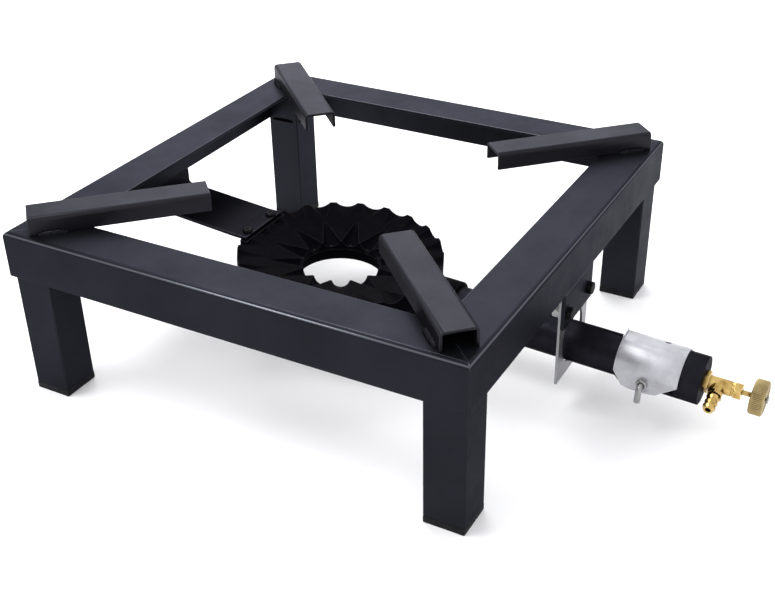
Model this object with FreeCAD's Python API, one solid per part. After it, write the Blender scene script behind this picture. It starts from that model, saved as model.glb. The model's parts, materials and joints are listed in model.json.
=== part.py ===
import FreeCAD, Part
import math
import os

# A single-ring gas boiling table: a low square stand of bent steel angle on four tube legs, four
# channel-shaped pot bars, and a cast burner ring fed by a mixing tube with an air shutter and a
# needle valve. Lengths are millimetres and angles are degrees. +Z is up and the valve points to -Y.
# Each piece is drawn with the stand's middle at x = 0, y = 0 and the floor at z = 0. Then all of
# them move together along Y, so that the origin lies on the floor under the middle of the whole.

V = FreeCAD.Vector

# ---- Stand ---------------------------------------------------------------------------------
frame_side = 400.0
stand_height = 146.0
rail_top_width = 40.0
rail_side_depth = 38.5
rail_wall = 3.0
rail_bend = 4.0
leg_side = 33.0
leg_wall = 2.0
leg_corner = 1.5
foot_thickness = 6.0
foot_stem_height = 16.0
foot_fit_gap = 0.2

# ---- Pot bars ------------------------------------------------------------------------------
bar_width = 28.0
bar_height = 15.0
bar_wall = 2.5
bar_bend = 3.5
bar_inner_reach = 121.0
bar_outer_setback = 20.8
weld_leg = 3.5
weld_length = 24.0
weld_end_setback = 6.0

# ---- How the burner hangs: its own axis runs along the mixing tube ---------------------------
burner_axis_height = 49.6
burner_droop = 2.6

# ---- Burner ring, in the burner's own frame ------------------------------------------------
ring_centre_y = 17.7
crown_outer_radius = 89.3
crown_inner_radius = 34.7
crown_outer_height = 19.2
crown_inner_height = 9.4
crown_roof = 8.5
outer_teeth = 22
outer_tooth_angle = 2.4
outer_groove_depth = 5.5
outer_groove_width = 22.5
outer_groove_length = 29.0
inner_teeth = 13
inner_tooth_angle = 2.8
inner_groove_depth = 5.5
inner_groove_width = 14.6
inner_groove_length = 34.0
groove_point_lift = 0.8
trough_depth = 11.5
trough_floor = 4.0
trough_lip = 3.3
trough_wall = 4.0
outer_port_height = 6.0
inner_port_height = 2.0
port_radius = 1.5
post_radius = 6.5
post_circle = 62.0
post_angles = (90.0, 210.0, 330.0)
crown_screw_radius = 2.5
crown_screw_bite = 6.0
screw_head_radius = 4.6
screw_head_height = 3.0
screw_gap = 0.1
socket_wall = 3.5
socket_length = 20.0
socket_gap = 0.5
inlet_width = 24.0

# ---- Mixing tube ---------------------------------------------------------------------------
tube_radius = 16.5
tube_wall = 3.0
tube_fit_gap = 0.1
bell_step = 2.9
bell_setback = 42.0
flare_length = 4.0
tube_overhang = 105.0
tube_end_wall = 12.0
window_height = 18.0
window_length = 34.0
window_to_end_wall = 7.0

# ---- Air shutter ---------------------------------------------------------------------------
shutter_sheet = 1.0
shutter_gap = 0.3
shutter_length = 50.5
shutter_end_gap = 15.5
shutter_side_drop = 12.6
shutter_floor_width = 23.0
shutter_cut_drop = 1.0
shutter_front_cut = 7.8
shutter_back_cut = 15.4
finger_tab_width = 12.0
finger_tab_height = 2.0
sight_hole_radius = 2.5
sight_hole_setback = 18.0
sight_hole_lean = 20.0
lock_screw_radius = 2.5
lock_screw_gap = 0.05
lock_screw_show = 8.0
lock_screw_bend = 4.0
lock_screw_reach = 12.5
lock_screw_height = -5.0
lock_screw_setback = 26.5
lock_nut_flats = 8.0
lock_nut_height = 4.0

# ---- Supports ------------------------------------------------------------------------------
tab_width = 60.0
tab_bottom = 76.0
plate_wall = 2.0
plate_bottom = 25.0
plate_top = 100.0
plate_slot_gap = 4.5
plate_rest_gap = 0.02
plate_slot_top = 79.0
bolt_radius = 3.0
bolt_gap = 0.3
bolt_spacing = 44.0
bolt_height = 88.0
bolt_flats = 10.0
bolt_head_height = 4.0
washer_radius = 6.0
washer_thickness = 1.6
nut_height = 5.0
bolt_tail = 2.0
strap_width = 56.0
strap_wall = 3.0
strap_bend = 6.0
strap_lap = 10.0
strap_flat = 4.0
strap_rise = 5.2
strap_screw_spacing = 36.0
strap_screw_edge = 5.0
strap_screw_bite = 6.0
pad_margin = 2.0

# ---- Gas valve -----------------------------------------------------------------------------
nose_radius = 6.0
nose_length = 14.0
nose_gap = 0.05
gasway_radius = 1.6
collar_flats = 15.0
collar_length = 4.0
body_radius = 6.0
body_length = 21.0
chamber_radius = 3.3
chamber_length = 10.0
tail_offset = 11.0
tail_dip = 13.0
tail_boss_radius = 5.6
tail_boss_reach = 9.5
tail_thread_radius = 3.6
tail_thread_length = 3.5
tail_thread_gap = 0.05
tail_collar_flats = 11.0
tail_collar_length = 3.0
tail_stem_radius = 3.6
tail_barb_radius = 4.9
tail_barb_land = 1.0
tail_barb_length = 5.0
tail_barbs = 3
tail_bore_radius = 2.2
jet_radius = 4.0
jet_length = 8.0
jet_thread_radius = 2.5
jet_thread_length = 6.0
jet_orifice_radius = 0.6
gland_flats = 12.0
gland_length = 8.0
packing_length = 3.0
spindle_radius = 2.0
spindle_gap = 0.05
needle_length = 2.5
needle_tip_radius = 0.6
seat_gap = 0.3
spindle_collar_radius = 3.0
spindle_collar_length = 1.5
stem_show = 7.5
knob_radius = 13.9
knob_length = 10.5
knob_edge = 1.0
knob_flutes = 60
knob_flute_radius = 0.6
knob_web = 3.0
knob_screw_radius = 1.25
knob_screw_head_radius = 3.0
knob_screw_head_height = 1.8
knob_screw_bite = 6.0

# ---- Places worked out from the sizes above --------------------------------------------------
front_face = -frame_side / 2
rail_bottom = stand_height - rail_side_depth
leg_top = stand_height - rail_bend
bar_outer_reach = frame_side / math.sqrt(2) - bar_outer_setback
ring_front_y = ring_centre_y - crown_outer_radius
ring_back_y = ring_centre_y + crown_outer_radius
trough_outer_radius = crown_outer_radius - trough_lip
trough_inner_radius = crown_inner_radius + trough_lip
channel_outer_radius = trough_outer_radius - trough_wall
channel_inner_radius = trough_inner_radius + trough_wall
socket_radius = tube_radius + socket_wall
socket_seat_y = ring_front_y - socket_gap - trough_wall
socket_mouth_y = socket_seat_y - socket_length
bell_radius = tube_radius + bell_step
bell_start_y = front_face - bell_setback
tube_end_y = front_face - tube_overhang
shutter_radius = bell_radius + shutter_gap + shutter_sheet
shutter_back_y = tube_end_y + shutter_end_gap
shutter_front_y = shutter_back_y + shutter_length
body_end_y = tube_end_y - body_length
gland_end_y = body_end_y - gland_length
knob_back_y = gland_end_y - stem_show
knob_front_y = knob_back_y - knob_length
spindle_end_y = knob_front_y + knob_web
seat_y = body_end_y + chamber_length
tail_y = tube_end_y - tail_offset
slope = math.radians(burner_droop)


# ---- Shared shapes ---------------------------------------------------------------------------
def cylinder(radius, start, end):
    """Solid round bar from one point to another."""
    along = end - start
    return Part.makeCylinder(radius, along.Length, start, along)


def cone(start_radius, end_radius, start, end):
    """Solid cone from one point to another."""
    along = end - start
    return Part.makeCone(start_radius, end_radius, along.Length, start, along)


def block(x, y, z):
    """Box between two values on each axis."""
    corner = V(min(x), min(y), min(z))
    return Part.makeBox(max(x) - min(x), max(y) - min(y), max(z) - min(z), corner)


def y_bar(radius, start_y, end_y, x=0.0, z=0.0):
    """Round bar along Y."""
    return cylinder(radius, V(x, start_y, z), V(x, end_y, z))


def z_bar(radius, start_z, end_z, x=0.0, y=0.0):
    """Round bar along Z."""
    return cylinder(radius, V(x, y, start_z), V(x, y, end_z))


def hexagon_bar(flats, start, end):
    """Six-sided bar of a given width across flats, from one point to another."""
    along = end - start
    reach = flats / math.sqrt(3)
    turns = [math.pi / 3 * k for k in range(7)]
    corners = [V(reach * math.cos(turn), reach * math.sin(turn), 0) for turn in turns]
    bar = Part.Face(Part.makePolygon(corners)).extrude(V(0, 0, along.Length))
    bar.Placement = FreeCAD.Placement(start, FreeCAD.Rotation(V(0, 0, 1), along))
    return bar


def prism(points, across):
    """Solid made by moving a flat outline sideways."""
    return Part.Face(Part.makePolygon(points + points[:1])).extrude(across)


def turned(outline, centre):
    """Solid of revolution about a vertical line, from (radius, height) points."""
    points = [centre + V(radius, 0, height) for radius, height in outline]
    return Part.Face(Part.makePolygon(points + points[:1])).revolve(centre, V(0, 0, 1), 360)


def left_of(direction):
    """Direction a quarter turn to the left in the section plane."""
    return V(-direction.y, direction.x, 0)


def side_line(points, wall):
    """Outline points moved to their left by the wall."""
    ways = [(after - before).normalize() for before, after in zip(points, points[1:])]
    ways = [ways[0]] + ways + [ways[-1]]
    moved = []
    for point, way_in, way_out in zip(points, ways, ways[1:]):
        mitre = left_of(way_in) + left_of(way_out)
        moved.append(point + mitre * (wall / (1 + way_in.dot(way_out))))
    return moved


def rounded_edges(points, bend_left, bend_right):
    """Edges along an open outline, with one radius where it turns left and one where it turns right."""
    edges = []
    here = points[0]
    for before, corner, after in zip(points, points[1:], points[2:]):
        way_in = (corner - before).normalize()
        way_out = (after - corner).normalize()
        turns_left = left_of(way_in).dot(way_out) > 0
        radius = bend_left if turns_left else bend_right
        reach = radius * math.tan(way_in.getAngle(way_out) / 2)
        start = corner - way_in * reach
        end = corner + way_out * reach
        centre = start + left_of(way_in) * (radius if turns_left else -radius)
        middle = centre + (corner - centre).normalize() * radius
        edges.append(Part.makeLine(here, start))
        edges.append(Part.Arc(start, middle, end).toShape())
        here = end
    edges.append(Part.makeLine(here, points[-1]))
    return edges


def sheet_section(points, wall, bend):
    """Flat section of bent sheet to the left of an open outline; bend is the outside radius."""
    near = rounded_edges(points, bend, bend - wall)
    moved = side_line(points, wall)
    far = rounded_edges(moved, bend - wall, bend)
    ends = [Part.makeLine(points[-1], moved[-1]), Part.makeLine(points[0], moved[0])]
    return Part.Face(Part.Wire(Part.__sortEdges__(near + far + ends)))


def bent_sheet(points, wall, bend, across, up, start, length):
    """Sheet bent to a section and run along a straight line."""
    along = across.cross(up)
    section = sheet_section([V(u, v, 0) for u, v in points], wall, bend)
    solid = section.extrude(V(0, 0, length))
    solid.Placement = FreeCAD.Placement(start, FreeCAD.Rotation(across, up, along, "XYZ"))
    return solid


def spun(shape, angle, centre=V(0, 0, 0)):
    """Copy of a shape turned about a vertical line."""
    copy = shape.copy()
    copy.rotate(centre, V(0, 0, 1), angle)
    return copy


def hung(shape):
    """Shape moved from the burner's own frame to its place in the stand."""
    copy = shape.copy()
    copy.translate(V(0, 0, burner_axis_height))
    copy.rotate(V(0, front_face, burner_axis_height), V(1, 0, 0), burner_droop)
    return copy


def hung_point(y, z):
    """Place in the stand of a point on the burner's middle plane."""
    run = y - front_face
    return (front_face + run * math.cos(slope) - z * math.sin(slope),
            burner_axis_height + run * math.sin(slope) + z * math.cos(slope))


# ---- Stand ---------------------------------------------------------------------------------
def rail():
    """Front rail: bent angle with both ends mitred at 45 degrees."""
    half = frame_side / 2
    outline = [(rail_top_width, 0), (0, 0), (0, -rail_side_depth)]
    bar = bent_sheet(outline, rail_wall, rail_bend, V(0, 1, 0), V(0, 0, 1),
                     V(-half, -half, stand_height), frame_side)
    mitred = prism([V(0, 0, 0), V(-half, -half, 0), V(half, -half, 0)], V(0, 0, stand_height))
    return bar.common(mitred)


def leg():
    """Front left leg: square tube standing inside the corner of the frame."""
    outside = -frame_side / 2 + rail_wall
    inside = outside + leg_side
    tube = block((outside, inside), (outside, inside), (foot_thickness, leg_top))
    upright = [edge for edge in tube.Edges if abs(edge.tangentAt(0).z) > 0.9]
    tube = tube.makeFillet(leg_corner, upright)
    hollow = (outside + leg_wall, inside - leg_wall)
    return tube.cut(block(hollow, hollow, (0, stand_height)))


def foot():
    """Front left foot: plug with a flange under the tube and a stem inside it."""
    outside = -frame_side / 2 + rail_wall
    inside = outside + leg_side
    stem = (outside + leg_wall + foot_fit_gap, inside - leg_wall - foot_fit_gap)
    flange = block((outside, inside), (outside, inside), (0, foot_thickness))
    return flange.fuse(block(stem, stem, (foot_thickness, foot_thickness + foot_stem_height)))


def pot_bar():
    """Pot bar along +X: an upturned channel, open at both ends."""
    half = bar_width / 2
    outline = [(half, 0), (half, bar_height), (-half, bar_height), (-half, 0)]
    return bent_sheet(outline, bar_wall, bar_bend, V(0, 1, 0), V(0, 0, 1),
                      V(bar_inner_reach, 0, stand_height), bar_outer_reach - bar_inner_reach)


def bar_welds():
    """Two fillet welds that hold a pot bar to the frame."""
    end = bar_outer_reach - weld_end_setback
    edge = bar_width / 2
    bead = prism([V(end, edge, stand_height), V(end, edge + weld_leg, stand_height),
                  V(end, edge, stand_height + weld_leg)], V(-weld_length, 0, 0))
    return [bead, bead.mirror(V(0, 0, 0), V(0, 1, 0))]


# ---- Supports under the front and rear rails -------------------------------------------------
def bolt_places():
    """Places of the bolts across the plate and above the floor."""
    return [(-bolt_spacing / 2, bolt_height), (bolt_spacing / 2, bolt_height)]


def front_tab():
    """Flat tab welded under the front rail, flush with its face."""
    inner_face = front_face + rail_wall
    across = (-tab_width / 2, tab_width / 2)
    tab = block(across, (front_face, inner_face), (tab_bottom, rail_bottom))
    for x, z in bolt_places():
        tab = tab.cut(y_bar(bolt_radius + bolt_gap, front_face - 1, inner_face + 1, x, z))
    return tab


def tube_plate():
    """Plate behind the tab, with a tall slot that carries the mixing tube."""
    near = front_face + rail_wall
    far = near + plate_wall
    plate = block((-tab_width / 2, tab_width / 2), (near, far), (plate_bottom, plate_top))
    rest_z = hung_point(near, 0)[1] - tube_radius / math.cos(slope)
    slot_radius = tube_radius + plate_slot_gap
    low = rest_z - plate_rest_gap + slot_radius
    high = plate_slot_top - slot_radius
    for z in (low, high):
        plate = plate.cut(y_bar(slot_radius, near - 1, far + 1, 0, z))
    plate = plate.cut(block((-slot_radius, slot_radius), (near - 1, far + 1), (low, high)))
    for x, z in bolt_places():
        plate = plate.cut(y_bar(bolt_radius + bolt_gap, near - 1, far + 1, x, z))
    return plate


def plate_bolt(x, z):
    """Hexagon bolt with its head on the face of the tab."""
    tip_y = front_face + rail_wall + plate_wall + washer_thickness + nut_height + bolt_tail
    head = hexagon_bar(bolt_flats, V(x, front_face - bolt_head_height, z), V(x, front_face, z))
    return head.fuse(y_bar(bolt_radius, front_face, tip_y, x, z))


def plate_washer(x, z):
    """Flat washer behind the plate."""
    near = front_face + rail_wall + plate_wall
    disc = y_bar(washer_radius, near, near + washer_thickness, x, z)
    return disc.cut(y_bar(bolt_radius + bolt_gap, near - 1, near + washer_thickness + 1, x, z))


def plate_nut(x, z):
    """Hexagon nut behind the washer."""
    near = front_face + rail_wall + plate_wall + washer_thickness
    nut = hexagon_bar(bolt_flats, V(x, near, z), V(x, near + nut_height, z))
    return nut.cut(y_bar(bolt_radius + screw_gap, near - 1, near + nut_height + 1, x, z))


def strap_screw_places():
    """Screw places on the pad, in the burner's own frame."""
    y = ring_back_y - strap_lap + strap_screw_edge
    return [(-strap_screw_spacing / 2, y), (strap_screw_spacing / 2, y)]


def rear_strap():
    """Bent strap welded under the rear rail, whose end lies flat on the pad of the burner crown."""
    end = hung_point(ring_back_y - strap_lap, crown_outer_height)
    bend_y, bend_z = hung_point(ring_back_y + strap_flat, crown_outer_height)
    outer_y = frame_side / 2
    corner_z = bend_z + (outer_y - bend_y) * math.tan(math.radians(strap_rise))
    outline = [end, (bend_y, bend_z), (outer_y, corner_z), (outer_y, rail_bottom)]
    strap = bent_sheet(outline, strap_wall, strap_bend, V(0, 1, 0), V(0, 0, 1),
                       V(-strap_width / 2, 0, 0), strap_width)
    for x, y in strap_screw_places():
        low = crown_outer_height - 1
        hole = z_bar(crown_screw_radius + screw_gap, low, low + strap_wall + 2, x, y)
        strap = strap.cut(hung(hole))
    return strap


def strap_screw(x, y):
    """Round-head screw through the strap into the crown's pad."""
    seat = crown_outer_height + strap_wall
    head = z_bar(screw_head_radius, seat, seat + screw_head_height, x, y)
    return head.fuse(z_bar(crown_screw_radius, crown_outer_height - strap_screw_bite, seat, x, y))


# ---- Burner ring ---------------------------------------------------------------------------
def crest_height(radius):
    """Height of the crown's ridges at a radius."""
    share = (radius - crown_inner_radius) / (crown_outer_radius - crown_inner_radius)
    return crown_inner_height + (crown_outer_height - crown_inner_height) * share


def groove(rim, length, depth, width):
    """Cone that scoops a groove which deepens from nothing to its full depth at the rim, along +X."""
    overrun = 1.1
    full = (width ** 2 / 4 + depth ** 2) / (2 * depth)
    start = rim - length
    apex = V(start, 0, crest_height(start) + groove_point_lift)
    over_rim = V(rim, 0, crest_height(rim) + full - depth)
    return cone(0, full * overrun, apex, apex + (over_rim - apex) * overrun)


def around_ring(shape, angles):
    """Copies of a shape drawn along +X from the ring's axis, one at each angle."""
    centre = V(0, ring_centre_y, 0)
    copies = []
    for angle in angles:
        copy = spun(shape, angle)
        copy.translate(centre)
        copies.append(copy)
    return copies


def groove_angles(count, tooth_angle):
    """Angles of the grooves, halfway between the teeth."""
    return [tooth_angle + (k + 0.5) * 360 / count for k in range(count)]


def post(low, high, radius):
    """Round posts on the screw circle, between two heights."""
    return around_ring(z_bar(radius, low, high, post_circle), post_angles)


def outer_port_angles():
    """Outer groove angles clear of the tube socket in front and the strap's pad behind."""
    clear = []
    for angle in groove_angles(outer_teeth, outer_tooth_angle):
        side = abs(crown_outer_radius * math.cos(math.radians(angle)))
        blocked = socket_radius if math.sin(math.radians(angle)) < 0 else strap_width / 2 + pad_margin
        if side > blocked + port_radius:
            clear.append(angle)
    return clear


def burner_crown():
    """Toothed upper casting: dished top, grooves on both rims, and flame ports under them."""
    centre = V(0, ring_centre_y, 0)
    section = [(crown_inner_radius, 0), (crown_outer_radius, 0),
               (crown_outer_radius, crown_outer_height), (crown_inner_radius, crown_inner_height)]
    crown = turned(section, centre)
    outer = groove(crown_outer_radius, outer_groove_length, outer_groove_depth, outer_groove_width)
    inner = groove(crown_inner_radius, -inner_groove_length, inner_groove_depth, inner_groove_width)
    crown = crown.cut(around_ring(outer, groove_angles(outer_teeth, outer_tooth_angle)))
    crown = crown.cut(around_ring(inner, groove_angles(inner_teeth, inner_tooth_angle)))
    half = strap_width / 2 + pad_margin
    pad_y = ring_back_y - strap_lap - pad_margin
    rim = z_bar(crown_outer_radius, 0, crown_outer_height, 0, ring_centre_y)
    pad = block((-half, half), (pad_y, ring_back_y), (0, crown_outer_height))
    crown = crown.fuse(rim.common(pad))
    channel = turned([(channel_inner_radius, 0), (channel_outer_radius, 0),
                      (channel_outer_radius, crest_height(channel_outer_radius) - crown_roof),
                      (channel_inner_radius, crest_height(channel_inner_radius) - crown_roof)], centre)
    crown = crown.cut(channel)
    roof = crest_height(post_circle) - crown_roof
    crown = crown.fuse(post(0, roof + 1, post_radius))
    crown = crown.cut(post(-1, crown_screw_bite + 1, crown_screw_radius + screw_gap))
    outer_port = cylinder(port_radius, V(channel_outer_radius - 1, 0, outer_port_height),
                          V(crown_outer_radius + 1, 0, outer_port_height))
    inner_port = cylinder(port_radius, V(crown_inner_radius - 1, 0, inner_port_height),
                          V(channel_inner_radius + 1, 0, inner_port_height))
    crown = crown.cut(around_ring(outer_port, outer_port_angles()))
    crown = crown.cut(around_ring(inner_port, groove_angles(inner_teeth, inner_tooth_angle)))
    for x, y in strap_screw_places():
        low = crown_outer_height - strap_screw_bite - 1
        crown = crown.cut(z_bar(crown_screw_radius + screw_gap, low, crown_outer_height + 1, x, y))
    return crown


def burner_body():
    """Lower casting: gas trough with screw posts and the socket for the mixing tube."""
    centre = V(0, ring_centre_y, 0)
    ring = turned([(trough_inner_radius, -trough_depth), (trough_outer_radius, -trough_depth),
                   (trough_outer_radius, 0), (trough_inner_radius, 0)], centre)
    floor = trough_floor - trough_depth
    channel = turned([(channel_inner_radius, floor), (channel_outer_radius, floor),
                      (channel_outer_radius, 1), (channel_inner_radius, 1)], centre)
    wall_y = ring_centre_y - channel_outer_radius
    socket = y_bar(socket_radius, socket_mouth_y, wall_y)
    crown_room = z_bar(crown_outer_radius + socket_gap, 0, socket_radius + 1, 0, ring_centre_y)
    inside = z_bar(channel_outer_radius, -socket_radius - 1, socket_radius + 1, 0, ring_centre_y)
    body = ring.fuse(socket.cut(crown_room).cut(inside))
    body = body.cut(channel)
    body = body.fuse(post(floor - 1, 0, post_radius))
    body = body.cut(post(-trough_depth - 1, 1, crown_screw_radius + screw_gap))
    body = body.cut(y_bar(tube_radius + tube_fit_gap, socket_mouth_y - 1, socket_seat_y))
    half_inlet = inlet_width / 2
    inlet = block((-half_inlet, half_inlet), (socket_seat_y - 1, wall_y + trough_wall), (floor, 0))
    return body.cut(inlet)


def crown_screws():
    """Screws from below that hold the crown down on the trough."""
    heads = post(-trough_depth - screw_head_height, -trough_depth, screw_head_radius)
    shanks = post(-trough_depth, crown_screw_bite, crown_screw_radius)
    return [head.fuse(shank) for head, shank in zip(heads, shanks)]


# ---- Mixing tube and air shutter ---------------------------------------------------------------
def mixing_tube():
    """Cast tube that widens to a bell with two air windows and a thick end wall."""
    bell_bore = bell_radius - tube_wall
    bore = tube_radius - tube_wall
    wall_y = tube_end_y + tube_end_wall
    flare_start = V(0, bell_start_y + flare_length, 0)
    flare_end = V(0, bell_start_y, 0)
    outside = y_bar(tube_radius, socket_seat_y, flare_start.y)
    outside = outside.fuse(cone(tube_radius, bell_radius, flare_start, flare_end))
    outside = outside.fuse(y_bar(bell_radius, flare_end.y, tube_end_y))
    inside = y_bar(bore, socket_seat_y + 1, flare_start.y)
    inside = inside.fuse(cone(bore, bell_bore, flare_start, flare_end))
    inside = inside.fuse(y_bar(bell_bore, flare_end.y, wall_y))
    tube = outside.cut(inside)
    window_y = wall_y + window_to_end_wall
    windows = block((-bell_radius - 1, bell_radius + 1), (window_y, window_y + window_length),
                    (-window_height / 2, window_height / 2))
    tube = tube.cut(windows)
    return tube.cut(y_bar(nose_radius + nose_gap, tube_end_y - 1, wall_y + 1))


def shutter_outline(inset):
    """Section of the shutter: round over the top, straight sides, and a flat floor."""
    radius = shutter_radius - inset
    half_floor = shutter_floor_width / 2 - inset / 2
    arch = Part.Arc(V(radius, 0, 0), V(0, 0, radius), V(-radius, 0, 0)).toShape()
    corners = [V(-radius, 0, 0), V(-radius, 0, -shutter_side_drop), V(-half_floor, 0, -radius),
               V(half_floor, 0, -radius), V(radius, 0, -shutter_side_drop), V(radius, 0, 0)]
    lines = [Part.makeLine(start, end) for start, end in zip(corners, corners[1:])]
    return Part.Face(Part.Wire([arch] + lines))


def lock_screw_place():
    """Where the locking screw's axis meets the shutter's left side."""
    return V(-shutter_radius, shutter_back_y + lock_screw_setback, lock_screw_height)


def air_shutter():
    """Sheet sleeve that slides on the bell, with a finger tab and cut-back lower corners."""
    outer = shutter_outline(0)
    inner = shutter_outline(shutter_sheet)
    outer.translate(V(0, shutter_back_y, 0))
    inner.translate(V(0, shutter_back_y - 1, 0))
    sleeve = outer.extrude(V(0, shutter_length, 0)).cut(inner.extrude(V(0, shutter_length + 2, 0)))
    wide = 2 * shutter_radius
    low = -shutter_radius - 1
    deepening = (shutter_cut_drop + low) / (shutter_cut_drop - shutter_side_drop)
    for end_y, cut in ((shutter_front_y, -shutter_front_cut), (shutter_back_y, shutter_back_cut)):
        corner = [V(-wide, end_y, -shutter_cut_drop), V(-wide, end_y, low),
                  V(-wide, end_y + cut * deepening, low)]
        sleeve = sleeve.cut(prism(corner, V(2 * wide, 0, 0)))
    half_tab = finger_tab_width / 2
    tab_foot = math.sqrt((shutter_radius - shutter_sheet / 2) ** 2 - half_tab ** 2)
    tab = block((-half_tab, half_tab), (shutter_front_y - shutter_sheet, shutter_front_y),
                (tab_foot, shutter_radius + finger_tab_height))
    sleeve = sleeve.fuse(tab)
    sight_y = shutter_back_y + sight_hole_setback
    sight_hole = z_bar(sight_hole_radius, 0, wide, 0, sight_y)
    sight_hole.rotate(V(0, sight_y, 0), V(0, 1, 0), sight_hole_lean)
    place = lock_screw_place()
    hole = cylinder(lock_screw_radius + lock_screw_gap, place, place + V(shutter_radius, 0, 0))
    return sleeve.cut([sight_hole, hole])


def shutter_nut():
    """Nut welded to the shutter's left side."""
    place = lock_screw_place()
    end = place - V(lock_nut_height, 0, 0)
    nut = hexagon_bar(lock_nut_flats, place, end)
    return nut.cut(cylinder(lock_screw_radius + lock_screw_gap, place + V(1, 0, 0), end - V(1, 0, 0)))


def shutter_screw():
    """Locking screw whose tip faces the bell and whose outer end bends down as a handle."""
    place = lock_screw_place()
    near_z = lock_screw_height + lock_screw_radius
    tip = V(-math.sqrt(bell_radius ** 2 - near_z ** 2) - shutter_gap, place.y, place.z)
    bend_start = place - V(lock_screw_show - lock_screw_bend, 0, 0)
    bend_centre = bend_start - V(0, 0, lock_screw_bend)
    bend_end = bend_centre - V(lock_screw_bend, 0, 0)
    handle_end = V(bend_end.x, place.y, place.z - lock_screw_reach)
    section = Part.Face(Part.Wire(Part.makeCircle(lock_screw_radius, bend_start, V(1, 0, 0))))
    bend = section.revolve(bend_centre, V(0, -1, 0), 90)
    screw = cylinder(lock_screw_radius, tip, bend_start).fuse(bend)
    return screw.fuse(cylinder(lock_screw_radius, bend_end, handle_end))


# ---- Gas valve -----------------------------------------------------------------------------
def tail_direction():
    """Direction of the hose tail, sideways and a little down."""
    dip = math.radians(tail_dip)
    return V(-math.cos(dip), 0, -math.sin(dip))


def tail_point(distance):
    """Point on the hose tail's axis, measured from the valve's axis."""
    return V(0, tail_y, 0) + tail_direction() * distance


def valve_body():
    """Brass body with a threaded nose, a hexagon collar, and a side boss for the hose tail."""
    nose_tip_y = tube_end_y + nose_length
    body = y_bar(nose_radius, nose_tip_y, tube_end_y)
    body = body.fuse(hexagon_bar(collar_flats, V(0, tube_end_y, 0), V(0, tube_end_y - collar_length, 0)))
    body = body.fuse(y_bar(body_radius, tube_end_y, body_end_y))
    body = body.fuse(cylinder(tail_boss_radius, tail_point(0), tail_point(tail_boss_reach)))
    body = body.cut(y_bar(gasway_radius, nose_tip_y + 1, seat_y))
    jet_hole = jet_thread_radius + nose_gap
    body = body.cut(y_bar(jet_hole, nose_tip_y + 1, nose_tip_y - jet_thread_length - 1))
    body = body.cut(y_bar(chamber_radius, seat_y, body_end_y - 1))
    body = body.cut(cylinder(tail_bore_radius, tail_point(0), tail_point(tail_boss_reach + 1)))
    thread = tail_thread_radius + tail_thread_gap
    return body.cut(cylinder(thread, tail_point(tail_boss_reach - tail_thread_length - tail_thread_gap),
                             tail_point(tail_boss_reach + 1)))


def injector_jet():
    """Jet screwed into the nose, facing up the tube."""
    seat = tube_end_y + nose_length
    tip = seat + jet_length
    jet = y_bar(jet_thread_radius, seat - jet_thread_length, seat)
    jet = jet.fuse(y_bar(jet_radius, seat, seat + jet_length / 2))
    jet = jet.fuse(cone(jet_radius, jet_radius / 2, V(0, seat + jet_length / 2, 0), V(0, tip, 0)))
    return jet.cut(y_bar(jet_orifice_radius, seat - jet_thread_length - 1, tip + 1))


def hose_tail():
    """Barbed tail: collar, stem and ridges that taper toward the open end."""
    start = tail_boss_reach - tail_thread_length
    collar_end = tail_boss_reach + tail_collar_length
    length = collar_end + tail_barbs * tail_barb_length
    tail = cylinder(tail_thread_radius, tail_point(start), tail_point(tail_boss_reach))
    tail = tail.fuse(hexagon_bar(tail_collar_flats, tail_point(tail_boss_reach), tail_point(collar_end)))
    tail = tail.fuse(cylinder(tail_stem_radius, tail_point(tail_boss_reach), tail_point(length)))
    for k in range(tail_barbs):
        ridge = collar_end + k * tail_barb_length + tail_barb_length / 4
        land = ridge + tail_barb_land
        end = collar_end + (k + 1) * tail_barb_length
        tail = tail.fuse(cylinder(tail_barb_radius, tail_point(ridge), tail_point(land)))
        tail = tail.fuse(cone(tail_barb_radius, tail_stem_radius, tail_point(land), tail_point(end)))
    return tail.cut(cylinder(tail_bore_radius, tail_point(start - 1), tail_point(length + 1)))


def gland_nut():
    """Hexagon nut that closes the spindle chamber."""
    nut = hexagon_bar(gland_flats, V(0, body_end_y, 0), V(0, gland_end_y, 0))
    return nut.cut(y_bar(spindle_radius + spindle_gap, body_end_y + 1, gland_end_y - 1))


def spindle_packing():
    """Seal ring round the spindle, inside the mouth of the chamber."""
    inner_y = body_end_y + packing_length
    ring = y_bar(chamber_radius - spindle_gap, body_end_y, inner_y)
    return ring.cut(y_bar(spindle_radius + spindle_gap, body_end_y - 1, inner_y + 1))


def valve_spindle():
    """Spindle with the needle tip at the seat and a screw hole in its outer end."""
    needle_y = seat_y - needle_length
    collar_end_y = needle_y - spindle_collar_length
    tip_y = seat_y - seat_gap
    spindle = y_bar(spindle_radius, needle_y, spindle_end_y)
    spindle = spindle.fuse(cone(needle_tip_radius, spindle_radius, V(0, tip_y, 0), V(0, needle_y, 0)))
    spindle = spindle.fuse(y_bar(spindle_collar_radius, needle_y, collar_end_y))
    hole_y = spindle_end_y + knob_screw_bite + 1
    return spindle.cut(y_bar(knob_screw_radius + spindle_gap, hole_y, spindle_end_y - 1))


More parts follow.
